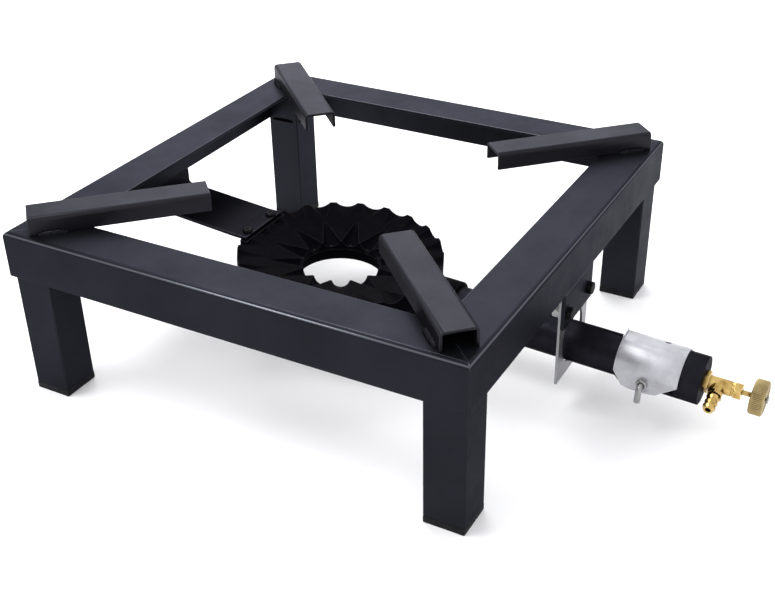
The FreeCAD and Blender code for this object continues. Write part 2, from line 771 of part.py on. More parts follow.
def valve_knob():
    """Fluted round knob on the end of the spindle."""
    knob = y_bar(knob_radius, knob_back_y, knob_front_y)
    rims = [edge for edge in knob.Edges if isinstance(edge.Curve, Part.Circle)]
    knob = knob.makeChamfer(knob_edge, rims)
    flutes = []
    for k in range(knob_flutes):
        angle = 2 * math.pi * k / knob_flutes
        x = knob_radius * math.cos(angle)
        z = knob_radius * math.sin(angle)
        flutes.append(y_bar(knob_flute_radius, knob_back_y + 1, knob_front_y - 1, x, z))
    knob = knob.cut(flutes)
    knob = knob.cut(y_bar(spindle_radius + spindle_gap, knob_back_y + 1, spindle_end_y - seat_gap))
    return knob.cut(y_bar(knob_screw_radius + spindle_gap, knob_back_y, knob_front_y - 1))


def knob_screw():
    """Screw through the knob into the spindle's end."""
    head = y_bar(knob_screw_head_radius, knob_front_y, knob_front_y - knob_screw_head_height)
    return head.fuse(y_bar(knob_screw_radius, spindle_end_y + knob_screw_bite, knob_front_y))


# ---- Assembly ------------------------------------------------------------------------------
sides = {"front": 0, "right": 90, "rear": 180, "left": 270}
corners = {"front_left": 0, "front_right": 90, "rear_right": 180, "rear_left": 270}
parts = {}
for side, angle in sides.items():
    parts[side + "_rail"] = spun(rail(), angle)
for corner, angle in corners.items():
    parts[corner + "_leg"] = spun(leg(), angle)
    parts[corner + "_pot_bar"] = spun(pot_bar(), angle + 225)
feet = [spun(foot(), angle) for angle in corners.values()]
parts["feet"] = Part.makeCompound(feet)
beads = [spun(bead, angle + 225) for angle in corners.values() for bead in bar_welds()]
parts["bar_weld_beads"] = Part.makeCompound(beads)
parts["front_tab"] = front_tab()
parts["tube_plate"] = tube_plate()
parts["plate_bolts"] = Part.makeCompound([plate_bolt(x, z) for x, z in bolt_places()])
parts["plate_washers"] = Part.makeCompound([plate_washer(x, z) for x, z in bolt_places()])
parts["plate_nuts"] = Part.makeCompound([plate_nut(x, z) for x, z in bolt_places()])
parts["rear_strap"] = rear_strap()
parts["strap_screws"] = Part.makeCompound([hung(strap_screw(x, y)) for x, y in strap_screw_places()])
parts["burner_body"] = hung(burner_body())
parts["burner_crown"] = hung(burner_crown())
parts["crown_screws"] = Part.makeCompound([hung(screw) for screw in crown_screws()])
for make in (mixing_tube, air_shutter, shutter_nut, shutter_screw, valve_body, injector_jet, hose_tail,
             gland_nut, spindle_packing, valve_spindle, valve_knob, knob_screw):
    parts[make.__name__] = hung(make())

front_end_y = hung_point(knob_front_y - knob_screw_head_height, knob_screw_head_radius)[0]
middle_y = (front_end_y + frame_side / 2) / 2
os.makedirs("parts", exist_ok=True)
for name, shape in parts.items():
    shape.translate(V(0, -middle_y, 0))
    shape.exportStep("parts/" + name + ".step")
    print(name, len(shape.Solids), round(shape.Volume, 1), shape.isValid())
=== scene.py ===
import json
import math

import bmesh
import bpy
from mathutils import Matrix, Vector


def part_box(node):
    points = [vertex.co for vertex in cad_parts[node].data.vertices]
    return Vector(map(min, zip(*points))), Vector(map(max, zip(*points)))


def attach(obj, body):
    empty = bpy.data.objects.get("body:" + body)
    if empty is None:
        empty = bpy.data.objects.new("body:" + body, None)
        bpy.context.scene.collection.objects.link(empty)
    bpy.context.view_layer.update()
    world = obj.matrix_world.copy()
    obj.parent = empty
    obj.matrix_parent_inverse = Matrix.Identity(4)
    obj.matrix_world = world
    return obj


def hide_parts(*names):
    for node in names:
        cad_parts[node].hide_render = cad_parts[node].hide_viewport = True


# Looks of a low gas boiling table: materials, softened edges, and detailed meshes for its small
# turned, threaded and welded pieces. Lengths are metres in the CAD's frame, angles are degrees.

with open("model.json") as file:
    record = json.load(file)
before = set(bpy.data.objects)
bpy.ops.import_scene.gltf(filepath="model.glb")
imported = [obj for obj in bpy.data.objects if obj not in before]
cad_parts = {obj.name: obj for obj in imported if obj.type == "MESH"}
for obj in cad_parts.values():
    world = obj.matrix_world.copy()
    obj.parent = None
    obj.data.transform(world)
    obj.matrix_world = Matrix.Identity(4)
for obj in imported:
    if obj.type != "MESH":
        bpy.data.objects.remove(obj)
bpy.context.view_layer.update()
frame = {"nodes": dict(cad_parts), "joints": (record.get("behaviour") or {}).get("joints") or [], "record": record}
NODES = frame["nodes"]
JOINTS = {joint["name"]: joint for joint in frame["joints"]}
SLOTS = {entry["node"]: entry["material_slot"] for entry in frame["record"]["subparts"]}

# ---- Sizes of the fasteners, the knob and the welds, and the stand's middle ------------------------
BOLT_FLATS = 0.010
BOLT_HEAD = 0.004
BOLT_TOP = 0.001
BOLT_RADIUS = 0.003
BOLT_HOLE_PLAY = 0.0003
BOLT_PITCH = 0.001
BOLT_THREAD_DEPTH = 0.00055
BOLT_THREAD_LENGTH = 0.012
NUT_HOLE_PLAY = 0.0001
GLAND_FLATS = 0.012
GLAND_BORE = 0.00205
GLAND_NECK = 0.0022
GLAND_CHAMFER = 0.0009
SCREW_HEAD = 0.003
SCREW_TOP = 0.0002
SCREW_RADIUS = 0.0025
RECESS_WIDTH = 0.0013
LOCK_FLATS = 0.008
LOCK_HOLE = 0.00255
KNOB_TEETH = 60
KNOB_TOOTH_STEPS = 6
KNOB_TOOTH_DEPTH = 0.00055
KNOB_RIM = 0.0011
KNOB_DISH = 0.0008
BAR_WELD_LEG = 0.0035
LEG_WELD_LEG = 0.0024
LEG_WELD_INSET = 0.004
SAME_POINT = 0.00001
STAND_MIDDLE = (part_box("left_rail")[0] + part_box("right_rail")[1]) / 2
STAND_MIDDLE.z = 0
UP = Vector((0, 0, 1))

# ---- Camera ----------------------------------------------------------------------------------
PHOTO_WIDTH = 775
SENSOR_WIDTH = 36.0
CAMERA_AZIMUTH = -60.7
CAMERA_ELEVATION = 31.0
CAMERA_ROLL = -1.1
CAMERA_PLACE = Vector((-0.76232, -0.37957, 0.56617))
FOCAL_PIXELS = 1181.2


def add_camera():
    """Camera at the photograph's viewpoint."""
    azimuth = math.radians(CAMERA_AZIMUTH)
    elevation = math.radians(CAMERA_ELEVATION)
    level = math.cos(elevation)
    back = Vector((math.sin(azimuth) * level, -math.cos(azimuth) * level, math.sin(elevation)))
    right = Vector((math.cos(azimuth), math.sin(azimuth), 0))
    axes = Matrix((right, back.cross(right), back)).transposed().to_4x4()
    data = bpy.data.cameras.new("camera")
    data.sensor_width = SENSOR_WIDTH
    data.lens = SENSOR_WIDTH * FOCAL_PIXELS / PHOTO_WIDTH
    data.clip_start = 0.01
    camera = bpy.data.objects.new("camera", data)
    roll = Matrix.Rotation(math.radians(CAMERA_ROLL), 4, "Z")
    camera.matrix_world = Matrix.Translation(CAMERA_PLACE) @ axes @ roll
    bpy.context.collection.objects.link(camera)
    bpy.context.scene.camera = camera


# ---- Node trees ------------------------------------------------------------------------------
NOISE_SPAN = (0.3, 0.7)
SHADER_SAMPLES = 6


class Surface:
    """A material with short calls for the procedural nodes it is built from."""

    def __init__(self, name):
        self.material = bpy.data.materials.new(name)
        self.material.use_nodes = True
        self.tree = self.material.node_tree
        self.shader = self.tree.nodes["Principled BSDF"]
        coordinates = self.add("ShaderNodeTexCoord")
        self.place = coordinates.outputs["Object"]
        normal = self.add("ShaderNodeSeparateXYZ", {"Vector": coordinates.outputs["Normal"]})
        self.tilt = normal.outputs["Z"]

    def add(self, kind, inputs=(), **settings):
        """New node with settings; an input is a value or another node's output."""
        node = self.tree.nodes.new(kind)
        for name, value in settings.items():
            setattr(node, name, value)
        for name, value in dict(inputs).items():
            self.feed(node.inputs[name], value)
        return node

    def feed(self, socket, value):
        """Links another node's output to a socket, or sets the socket to a value."""
        if isinstance(value, bpy.types.NodeSocket):
            self.tree.links.new(value, socket)
        else:
            socket.default_value = value

    def stretched(self, scale):
        """Object coordinates multiplied by a scale on each axis."""
        return self.add("ShaderNodeMapping", {"Vector": self.place, "Scale": scale}).outputs["Vector"]

    def noise(self, scale, detail=3.0, roughness=0.55, place=None):
        """Soft noise; its scale is in features a metre."""
        inputs = {"Vector": place or self.place, "Scale": scale, "Detail": detail, "Roughness": roughness}
        return self.add("ShaderNodeTexNoise", inputs).outputs["Fac"]

    def cells(self, scale, output="Distance"):
        """Irregular cells: the distance to their middles, or one colour each."""
        node = self.add("ShaderNodeTexVoronoi", {"Vector": self.place, "Scale": scale})
        return node.outputs[output]

    def ramp(self, factor, stops):
        """Colour ramp from (position, colour) pairs; a number stands for a grey."""
        node = self.add("ShaderNodeValToRGB", {"Fac": factor})
        elements = node.color_ramp.elements
        while len(elements) < len(stops):
            elements.new(0.5)
        for element, (position, colour) in zip(elements, stops):
            grey = isinstance(colour, (int, float))
            element.position = position
            element.color = (colour, colour, colour, 1) if grey else (*colour, 1)
        return node.outputs["Color"]

    def spread(self, value, start, end, first, last):
        """Value that goes from first to last as another goes from start to end."""
        inputs = {"Value": value, "From Min": start, "From Max": end, "To Min": first, "To Max": last}
        return self.add("ShaderNodeMapRange", inputs).outputs["Result"]

    def between(self, factor, low, high):
        """Value from low to high over the span of most noise."""
        return self.spread(factor, *NOISE_SPAN, low, high)

    def blend(self, factor, first, second):
        """Mix of two colours, each a colour or another node's output."""
        node = self.add("ShaderNodeMix", data_type="RGBA")
        self.feed(node.inputs[0], factor)
        for socket, colour in ((node.inputs[6], first), (node.inputs[7], second)):
            linked = isinstance(colour, bpy.types.NodeSocket)
            self.feed(socket, colour if linked else (*colour, 1))
        return node.outputs[2]

    def edges(self, radius, low, high):
        """1 along edges and 0 on flat ground, from how far a rounded normal leaves the true one."""
        soft = self.add("ShaderNodeBevel", {"Radius": radius}, samples=SHADER_SAMPLES).outputs["Normal"]
        true = self.add("ShaderNodeNewGeometry").outputs["Normal"]
        same = self.add("ShaderNodeVectorMath", {0: soft, 1: true}, operation="DOT_PRODUCT")
        return self.spread(same.outputs["Value"], low, high, 0.0, 1.0)

    def leaning(self, stops):
        """Value from (tilt, value) stops, where tilt is 0 on a wall and 1 on level ground."""
        return self.ramp(self.tilt, stops)

    def hollows(self, distance):
        """1 deep in crevices and 0 on open ground."""
        sky = self.add("ShaderNodeAmbientOcclusion", {"Distance": distance}, samples=SHADER_SAMPLES)
        return self.spread(sky.outputs["AO"], 0.35, 0.85, 1.0, 0.0)

    def bump(self, height, strength, distance, normal=None):
        """Bumped normal, which may lie on top of another bumped one."""
        inputs = {"Height": height, "Strength": strength, "Distance": distance}
        if normal:
            inputs["Normal"] = normal
        return self.add("ShaderNodeBump", inputs).outputs["Normal"]

    def set(self, **values):
        """Values of the shader's sockets, with underscores for the spaces in their names."""
        for name, value in values.items():
            self.feed(self.shader.inputs[name.replace("_", " ")], value)


# ---- Materials -------------------------------------------------------------------------------
# The coats are shaded mostly as metal with a dark tint, which keeps their walls dark at low angles.
COAT_METAL = 0.8
DUST = (0.046, 0.047, 0.054)
# Colour of the lightened upper edges: partly wear, partly a painted highlight.
EDGE_WEAR_AND_HIGHLIGHT = (0.048, 0.049, 0.057)
# Painted highlight colour of the upward-facing bends.
BEND_HIGHLIGHT = (0.085, 0.090, 0.102)
BURNISHED_ROUGHNESS = 0.20


def painted(name, dark, light, bend_highlight, graze):
    """Baked satin paint on steel sheet: faint mottling, orange peel, upper edges lightened as wear and painted
    highlight, and polished bends with a painted highlight on their upper side.
    """
    s = Surface(name)
    body = s.ramp(s.noise(11, 5, 0.6), [(0.3, dark), (0.7, light)])
    dust = s.ramp(s.noise(620, 2, 0.5), [(0.66, 0.0), (0.74, 1.0)])
    dusty = s.blend(s.between(dust, -0.15, 0.20), body, DUST)
    # Edges lighten only where they face up: partly wear, partly a painted highlight.
    upper = s.leaning([(0.0, 0.25), (0.2, 1.0)])
    edge = s.add("ShaderNodeMath", {0: s.edges(0.0016, 0.992, 0.93), 1: upper}, operation="MULTIPLY")
    lighter_edges = s.blend(edge.outputs[0], dusty, EDGE_WEAR_AND_HIGHLIGHT)
    # Painted highlight: the upward-facing rounded bends get a lighter colour, as the lamps would give them, and
    # lower roughness.
    bend = s.leaning([(0.56, 0.0), (0.66, bend_highlight), (0.82, bend_highlight), (0.90, 0.0)])
    with_bend_highlight = s.blend(bend, lighter_edges, BEND_HIGHLIGHT)
    satin = s.between(s.noise(34, 4, 0.65), 0.37, 0.47)
    rough = s.add("ShaderNodeMix", {"Factor": bend, "A": satin, "B": BURNISHED_ROUGHNESS}).outputs["Result"]
    peel = s.bump(s.noise(1100, 2, 0.5), 0.10, 0.0003)
    dents = s.bump(s.noise(26, 2, 0.4), 0.12, 0.0010, peel)
    s.set(Base_Color=with_bend_highlight, Metallic=COAT_METAL, Roughness=rough, Normal=dents, Specular_IOR_Level=0.2)
    s.set(Specular_Tint=(graze, graze, graze * 1.06, 1.0))
    return s.material


def black_paint():
    """Paint of the rails, legs and brackets."""
    return painted("black_paint", (0.0118, 0.0124, 0.0164), (0.0172, 0.0180, 0.0230), 1.0, 0.43)


def bar_paint():
    """Paint of the pot bars, whose bends get no painted highlight and are as dull as their faces."""
    return painted("bar_paint", (0.0155, 0.0155, 0.0190), (0.0220, 0.0220, 0.0265), 0.0, 0.50)


def strap_paint():
    """Darker paint of the strap beside the flames."""
    return painted("strap_paint", (0.0050, 0.0050, 0.0072), (0.0090, 0.0090, 0.0120), 0.0, 0.40)


def cast_black():
    """Sand-cast iron with a dull black finish."""
    s = Surface("cast_black")
    grain = s.noise(900, 4, 0.7)
    body = s.ramp(s.noise(70, 5, 0.65), [(0.3, (0.0004, 0.0003, 0.0009)), (0.72, (0.0019, 0.0016, 0.0030))])
    # Edges lighter: partly wear, partly a painted highlight.
    edge_lightened = s.blend(s.edges(0.0022, 0.990, 0.90), body, (0.0150, 0.0145, 0.0175))
    rough = s.between(grain, 0.62, 0.82)
    coarse = s.bump(s.noise(210, 3, 0.6), 0.45, 0.0009)
    fine = s.bump(grain, 0.35, 0.0004, coarse)
    s.set(Base_Color=edge_lightened, Roughness=rough, Normal=fine, Specular_IOR_Level=0.02)
    return s.material


def tube_black():
    """Smoother black coat of the mixing tube and its bell, with soft bluish highlights."""
    s = Surface("tube_black")
    body = s.ramp(s.noise(45, 5, 0.6), [(0.3, (0.0100, 0.0098, 0.0135)), (0.72, (0.0190, 0.0185, 0.0240))])
    edge_lightened = s.blend(s.edges(0.0012, 0.985, 0.88), body, (0.020, 0.020, 0.024))
    rough = s.between(s.noise(160, 4, 0.65), 0.38, 0.55)
    skin = s.bump(s.noise(420, 3, 0.6), 0.22, 0.0004)
    s.set(Base_Color=edge_lightened, Metallic=COAT_METAL, Roughness=rough, Normal=skin, Specular_IOR_Level=0.1)
    s.set(Specular_Tint=(0.30, 0.30, 0.34, 1.0))
    return s.material


def plated(name, dark, light):
    """Zinc plating with crystal patches and drawn streaks."""
    s = Surface(name)
    patch = s.cells(140, "Color")
    shade = s.add("ShaderNodeRGBToBW", {"Color": patch}).outputs["Val"]
    body = s.ramp(shade, [(0.1, dark), (0.9, light)])
    streak = s.noise(1.0, 3, 0.6, s.stretched((900, 40, 900)))
    tarnish = s.blend(s.between(s.noise(55, 4, 0.6), -0.1, 0.45), body, (0.28, 0.275, 0.29))
    rough = s.between(streak, 0.34, 0.48)
    lines = s.bump(streak, 0.10, 0.0002)
    waves = s.bump(s.noise(1.0, 2, 0.5, s.stretched((70, 14, 70))), 0.22, 0.0008, lines)
    s.set(Base_Color=tarnish, Metallic=0.92, Roughness=rough, Normal=waves)
    return s.material


def zinc_sheet():
    """Bright plating of the air shutter."""
    return plated("zinc_sheet", (0.46, 0.46, 0.49), (0.52, 0.52, 0.55))


def dull_zinc():
    """Darker plating of the slotted plate."""
    return plated("dull_zinc", (0.25, 0.25, 0.265), (0.31, 0.31, 0.325))


def bright_steel():
    """Zinc-plated fastener steel."""
    s = Surface("bright_steel")
    body = s.ramp(s.noise(160, 4, 0.6), [(0.3, (0.24, 0.24, 0.24)), (0.7, (0.38, 0.38, 0.37))])
    bright = s.blend(s.edges(0.0006, 0.995, 0.90), body, (0.55, 0.55, 0.54))
    rough = s.between(s.noise(420, 3, 0.6), 0.26, 0.44)
    grain = s.bump(s.noise(1300, 2, 0.5), 0.12, 0.0002)
    s.set(Base_Color=bright, Metallic=1.0, Roughness=rough, Normal=grain)
    return s.material


def black_steel():
    """Blackened screws and bolts."""
    s = Surface("black_steel")
    body = s.ramp(s.noise(160, 4, 0.6), [(0.3, (0.005, 0.005, 0.006)), (0.7, (0.012, 0.012, 0.013))])
    lighter_edges = s.blend(s.edges(0.0006, 0.995, 0.90), body, (0.030, 0.030, 0.033))
    rough = s.between(s.noise(420, 3, 0.6), 0.34, 0.52)
    grain = s.bump(s.noise(1300, 2, 0.5), 0.15, 0.0002)
    s.set(Base_Color=lighter_edges, Metallic=0.6, Roughness=rough, Normal=grain, Specular_IOR_Level=0.15)
    s.set(Specular_Tint=(0.40, 0.40, 0.42, 1.0))
    return s.material


def brass():
    """Machined yellow brass, browner in patches and hollows and brighter on the edges."""
    s = Surface("brass")
    body = s.ramp(s.noise(120, 5, 0.65), [(0.28, (0.26, 0.16, 0.045)), (0.5, (0.50, 0.34, 0.11)),
                                          (0.75, (0.68, 0.50, 0.20))])
    bright = s.blend(s.edges(0.0007, 0.99, 0.86), body, (0.90, 0.69, 0.30))
    aged = s.blend(s.hollows(0.006), bright, (0.10, 0.052, 0.010))
    rough = s.between(s.noise(340, 3, 0.6), 0.13, 0.27)
    marks = s.bump(s.noise(1.0, 2, 0.5, s.stretched((500, 3200, 500))), 0.16, 0.0002)
    s.set(Base_Color=aged, Metallic=1.0, Roughness=rough, Normal=marks)
    return s.material


def knob_brass():
    """Duller, handled brass of the knob, dark between its teeth."""
    s = Surface("knob_brass")
    body = s.ramp(s.noise(150, 5, 0.65), [(0.28, (0.19, 0.14, 0.062)), (0.55, (0.35, 0.27, 0.125)),
                                          (0.78, (0.50, 0.40, 0.20))])
    bright = s.blend(s.edges(0.0005, 0.985, 0.85), body, (0.52, 0.42, 0.22))
    aged = s.blend(s.hollows(0.0014), bright, (0.035, 0.026, 0.012))
    rough = s.between(s.noise(300, 3, 0.6), 0.34, 0.52)
    marks = s.bump(s.noise(900, 3, 0.6), 0.2, 0.0002)
    s.set(Base_Color=aged, Metallic=1.0, Roughness=rough, Normal=marks)
    return s.material


def weld():
    """Painted-over weld metal with darker valleys."""
    s = Surface("weld")
    body = s.ramp(s.noise(260, 4, 0.6), [(0.3, (0.005, 0.005, 0.007)), (0.7, (0.012, 0.012, 0.015))])
    bright = s.blend(s.edges(0.0006, 0.99, 0.80), body, (0.022, 0.022, 0.026))
    rough = s.between(s.noise(500, 3, 0.6), 0.16, 0.30)
    skin = s.bump(s.noise(1500, 2, 0.5), 0.25, 0.0002)
    s.set(Base_Color=bright, Metallic=0.7, Roughness=rough, Normal=skin, Specular_IOR_Level=0.12)
    s.set(Specular_Tint=(0.30, 0.30, 0.34, 1.0))
    return s.material


def foot_plastic():
    """Matt moulded plastic with a fine texture."""
    s = Surface("foot_plastic")
    body = s.ramp(s.noise(90, 4, 0.6), [(0.3, (0.004, 0.004, 0.005)), (0.7, (0.009, 0.009, 0.010))])
    scuffed = s.blend(s.edges(0.001, 0.99, 0.9), body, (0.016, 0.016, 0.017))
    grain = s.bump(s.cells(1600), 0.25, 0.0002)
    rough = s.between(s.noise(60, 3, 0.6), 0.55, 0.7)
    s.set(Base_Color=scuffed, Roughness=rough, Normal=grain, Specular_IOR_Level=0.12)
    return s.material


def packing():
    """White pressed sealing ring."""
    s = Surface("packing")
    body = s.ramp(s.noise(700, 4, 0.6), [(0.3, (0.70, 0.69, 0.65)), (0.7, (0.86, 0.85, 0.82))])
    rough = s.between(s.noise(400, 3, 0.6), 0.5, 0.65)
    s.set(Base_Color=body, Roughness=rough, Normal=s.bump(s.noise(1500), 0.2, 0.0001))
    return s.material


MAKERS = (black_paint, bar_paint, strap_paint, cast_black, tube_black, zinc_sheet, dull_zinc,
          bright_steel, black_steel, brass, knob_brass, weld, foot_plastic, packing)
MATERIALS = {make.__name__: make() for make in MAKERS}

# Nodes whose finish differs from the rest of their slot.
FINISHES = {"mixing_tube": "tube_black", "tube_plate": "dull_zinc", "rear_strap": "strap_paint"}
FINISHES.update({name: "bar_paint" for name in NODES if name.endswith("pot_bar")})

# ---- Edges of the carried-over nodes -----------------------------------------------------------
EDGE_ANGLE = 32.0
EDGE_SEGMENTS = 2
EDGE_RADIUS = {"black_paint": 0.0006, "cast_black": 0.0008, "foot_plastic": 0.0008, "zinc_sheet": 0.0002,
               "brass": 0.00025, "bright_steel": 0.0002}


def finish_nodes():
    """Every CAD node gets its finish, and softened edges where its slot has a radius for them."""
    for name, node in NODES.items():
        slot = SLOTS[name]
        node.data.materials[0] = MATERIALS[FINISHES.get(name, slot)]
        if slot not in EDGE_RADIUS:
            continue
        weld_points = node.modifiers.new("joined", "WELD")
        weld_points.merge_threshold = SAME_POINT
        rounding = node.modifiers.new("rounded", "BEVEL")
        rounding.width = EDGE_RADIUS[slot]
        rounding.segments = EDGE_SEGMENTS
        rounding.limit_method = "ANGLE"
        rounding.angle_limit = math.radians(EDGE_ANGLE)
        rounding.harden_normals = True
        rounding.loop_slide = False


# ---- Measuring the CAD nodes -------------------------------------------------------------------
def islands(name):
    """The separate solids of a node, each as a list of points."""
    mesh = bmesh.new()
    mesh.from_mesh(NODES[name].data)
    bmesh.ops.remove_doubles(mesh, verts=mesh.verts, dist=SAME_POINT)
    left = set(mesh.verts)
    found = []
    for first in mesh.verts:
        if first not in left:
            continue
        left.remove(first)
        queue = [first]
        points = []
        while queue:
            vertex = queue.pop()
            points.append(vertex.co.copy())
            near = {edge.other_vert(vertex) for edge in vertex.link_edges} & left
            left -= near
            queue.extend(near)
        found.append(points)
    mesh.free()
    return found


def span(points, axis):
    """Lowest and highest place of the points along an axis."""
    places = [point.dot(axis) for point in points]
    return min(places), max(places)


def middle(points):
    """Centre of the points' box."""
    return Vector([(min(p[i] for p in points) + max(p[i] for p in points)) / 2 for i in range(3)])


def line_frame(point, axis):
    """Placement whose Z runs along the axis through a point, counted from the frame's origin."""
    base = point - axis * point.dot(axis)
    if abs(axis.x) > 0.9:
        side = axis.orthogonal().normalized()
    else:
        side = (Vector((1, 0, 0)) - axis * axis.x).normalized()
    turn = Matrix((side, axis.cross(side), axis)).transposed().to_4x4()
    return Matrix.Translation(base) @ turn


# ---- Mesh building -----------------------------------------------------------------------------
ROUNDED_SHARE = 0.45
ROUNDED_STEPS = 3
CLOSED_RADIUS = 1e-7
HEXAGON_STEPS = 96
ROUND_STEPS = 64
SHANK_STEPS = 48
HEXAGON_FACE = 0.46


def smooth_profile(corners, radius):
    """Outline of (radius, height) corners, rounded everywhere but at its two ends."""
    points = [Vector(corners[0])]
    for before, corner, after in zip(corners, corners[1:], corners[2:]):
        corner = Vector(corner)
        way_in = Vector(before) - corner
        way_out = Vector(after) - corner
        cut = min(radius, way_in.length * ROUNDED_SHARE, way_out.length * ROUNDED_SHARE)
        start = corner + way_in.normalized() * cut
        end = corner + way_out.normalized() * cut
        for k in range(ROUNDED_STEPS + 1):
            t = k / ROUNDED_STEPS
            points.append(start * (1 - t) ** 2 + corner * 2 * t * (1 - t) + end * t ** 2)
    points.append(Vector(corners[-1]))
    return points


def divided(points, longest):
    """Outline with its long stretches cut into short ones."""
    result = [points[0]]
    for start, end in zip(points, points[1:]):
        count = max(1, math.ceil((end - start).length / longest))
        result.extend(start.lerp(end, k / count) for k in range(1, count + 1))
    return result


def turned(mesh, outline, steps, placement, shape=None):
    """Adds a body of revolution, closed where its radius is 0.

    shape(radius, angle, height) may change the radius.
    """
    rings = []
    for radius, height in outline:
        count = 1 if radius < CLOSED_RADIUS else steps
        ring = []
        for k in range(count):
            angle = 2 * math.pi * k / steps
            away = shape(radius, angle, height) if shape and count > 1 else radius
            point = Vector((away * math.cos(angle), away * math.sin(angle), height))
            ring.append(mesh.verts.new(placement @ point))
        rings.append(ring)
    for low, high in zip(rings, rings[1:]):
        for k in range(steps):
            after = (k + 1) % steps
            below = [low[k % len(low)], low[after % len(low)]]
            above = [high[after % len(high)], high[k % len(high)]]
            unique = list(dict.fromkeys(below + above))
            if len(unique) > 2:
                mesh.faces.new(unique)


def hexagon(flats):
    """Shape that holds a turned body inside a hexagon."""
    def shape(radius, angle, height):
        folded = (angle + math.pi / 6) % (math.pi / 3) - math.pi / 6
        return min(radius, flats / 2 / math.cos(folded))
    return shape


def hexagon_body(mesh, placement, flats, corners, rounding, longest):
    """Adds a turned body of (radius, height) corners, held inside a hexagon."""
    outline = smooth_profile(corners, rounding)
    turned(mesh, divided(outline, longest), HEXAGON_STEPS, placement, hexagon(flats))


def screw_thread(pitch, depth, start, end):
    """Shape that cuts a thread between two heights."""
    def shape(radius, angle, height):
        if not start <= height <= end:
            return radius
        phase = (height / pitch - angle / (2 * math.pi)) % 1
        return radius - depth * abs(2 * phase - 1)
    return shape


def knurl(count, depth, low, high, fade):
    """Shape that presses straight teeth between two heights, fading out at both ends."""
    def shape(radius, angle, height):
        inside = min(height - low, high - height) / fade
        tooth = abs(2 * ((angle * count / (2 * math.pi)) % 1) - 1)
        return radius - depth * tooth * max(0.0, min(1.0, inside))
    return shape


def piece(name, mesh, material, body, slot, *nodes, angle=35.0):
    """Finished object from a mesh: material, the body it rides on and the nodes it replaces; the slot argument is
    not used.
    """
    bmesh.ops.recalc_face_normals(mesh, faces=mesh.faces)
    data = bpy.data.meshes.new(name)
    mesh.to_mesh(data)
    mesh.free()
    data.shade_smooth()
    data.set_sharp_from_angle(angle=math.radians(angle))
    data.materials.append(MATERIALS[material])
    made = bpy.data.objects.new(name, data)
    bpy.context.collection.objects.link(made)
    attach(made, body)
    if nodes:
        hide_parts(*nodes)


# ---- Valve -------------------------------------------------------------------------------------
# OUTWARD runs along the valve and the mixing tube, UPWARD square to it, along the burner's screws.
OUTWARD = Vector(JOINTS["knob_turn"]["axis"]).normalized()
VALVE = line_frame(Vector(JOINTS["knob_turn"]["pos_m"]), OUTWARD)
UPWARD = Vector((1, 0, 0)).cross(-OUTWARD)


def reach(points, placement):
    """Largest distance of the points from a placement's Z axis."""
    back = placement.inverted()
    return max((back @ point).xy.length for point in points)


def knob():
    """Knob with fine straight knurling, chamfered rims, dished faces and a hub."""
    points = islands("valve_knob")[0]
    low, high = span(points, OUTWARD)
    radius = reach(points, VALVE)
    bore = reach(islands("valve_spindle")[0], VALVE) * 0.72
    corners = [(bore, low + 0.004), (bore, low), (radius * 0.42, low), (radius * 0.46, low + KNOB_DISH),
               (radius * 0.78, low + KNOB_DISH), (radius * 0.82, low), (radius - KNOB_RIM, low),
               (radius, low + KNOB_RIM), (radius, high - KNOB_RIM), (radius - KNOB_RIM, high),
               (radius * 0.80, high), (radius * 0.76, high - KNOB_DISH), (radius * 0.30, high - KNOB_DISH),
               (0, high - KNOB_DISH)]
    outline = smooth_profile(corners, 0.0004)
    mesh = bmesh.new()
    teeth = knurl(KNOB_TEETH, KNOB_TOOTH_DEPTH, low + KNOB_RIM * 0.6, high - KNOB_RIM * 0.6, 0.0006)
    turned(mesh, divided(outline, 0.0008), KNOB_TEETH * KNOB_TOOTH_STEPS, VALVE,
           lambda r, a, h: teeth(r, a, h) if r > radius * 0.96 else r)
    piece("knurled_knob", mesh, "knob_brass", "knob", "brass", "valve_knob")


def gland():
    """Gland nut: chamfered hexagon with a plain neck behind it."""
    points = islands("gland_nut")[0]
    low, high = span(points, OUTWARD)
    corner = reach(points, VALVE)
    corners = [(GLAND_BORE, low), (corner * 0.80, low), (corner * 0.82, low + GLAND_NECK),
               (corner * 0.93, low + GLAND_NECK), (corner, low + 0.0030), (corner, high - GLAND_CHAMFER),
               (corner * 0.90, high), (GLAND_BORE + 0.0006, high), (GLAND_BORE, high - 0.0006),
               (GLAND_BORE, low)]
    mesh = bmesh.new()
    hexagon_body(mesh, VALVE, GLAND_FLATS, corners, 0.0002, 0.0007)
    piece("gland_hexagon", mesh, "brass", "stand", "brass", "gland_nut")


# ---- Screws, bolts and nuts ---------------------------------------------------------------------
PLATE_AXIS = Vector((0, -1, 0))


def bolt_head(mesh, placement, low, high):
    """Hexagon head with both rims chamfered."""
    corner = BOLT_FLATS / math.sqrt(3)
    face = BOLT_FLATS * HEXAGON_FACE
    chamfer = BOLT_FLATS * 0.06
    corners = [(0, low), (face, low), (corner, low + chamfer), (corner, high - chamfer), (face, high),
               (0, high)]
    hexagon_body(mesh, placement, BOLT_FLATS, corners, 0.0003, 0.0008)


def plate_bolts():
    """Hexagon bolts of the slotted plate, threaded where they show."""
    mesh = bmesh.new()
    for points in islands("plate_bolts"):
        low, high = span(points, PLATE_AXIS)
        seat = high - BOLT_HEAD
        top = [point for point in points if point.dot(PLATE_AXIS) > high - BOLT_TOP]
        placement = line_frame(middle(top), PLATE_AXIS)
        bolt_head(mesh, placement, seat, high)
        corners = [(0, low), (BOLT_RADIUS * 0.8, low), (BOLT_RADIUS, low + 0.0006), (BOLT_RADIUS, seat),
                   (0, seat)]
        thread = screw_thread(BOLT_PITCH, BOLT_THREAD_DEPTH, low, low + BOLT_THREAD_LENGTH)
        turned(mesh, divided(smooth_profile(corners, 0.0001), 0.00016), SHANK_STEPS, placement, thread)
    piece("hexagon_bolts", mesh, "black_steel", "stand", "bright_steel", "plate_bolts")


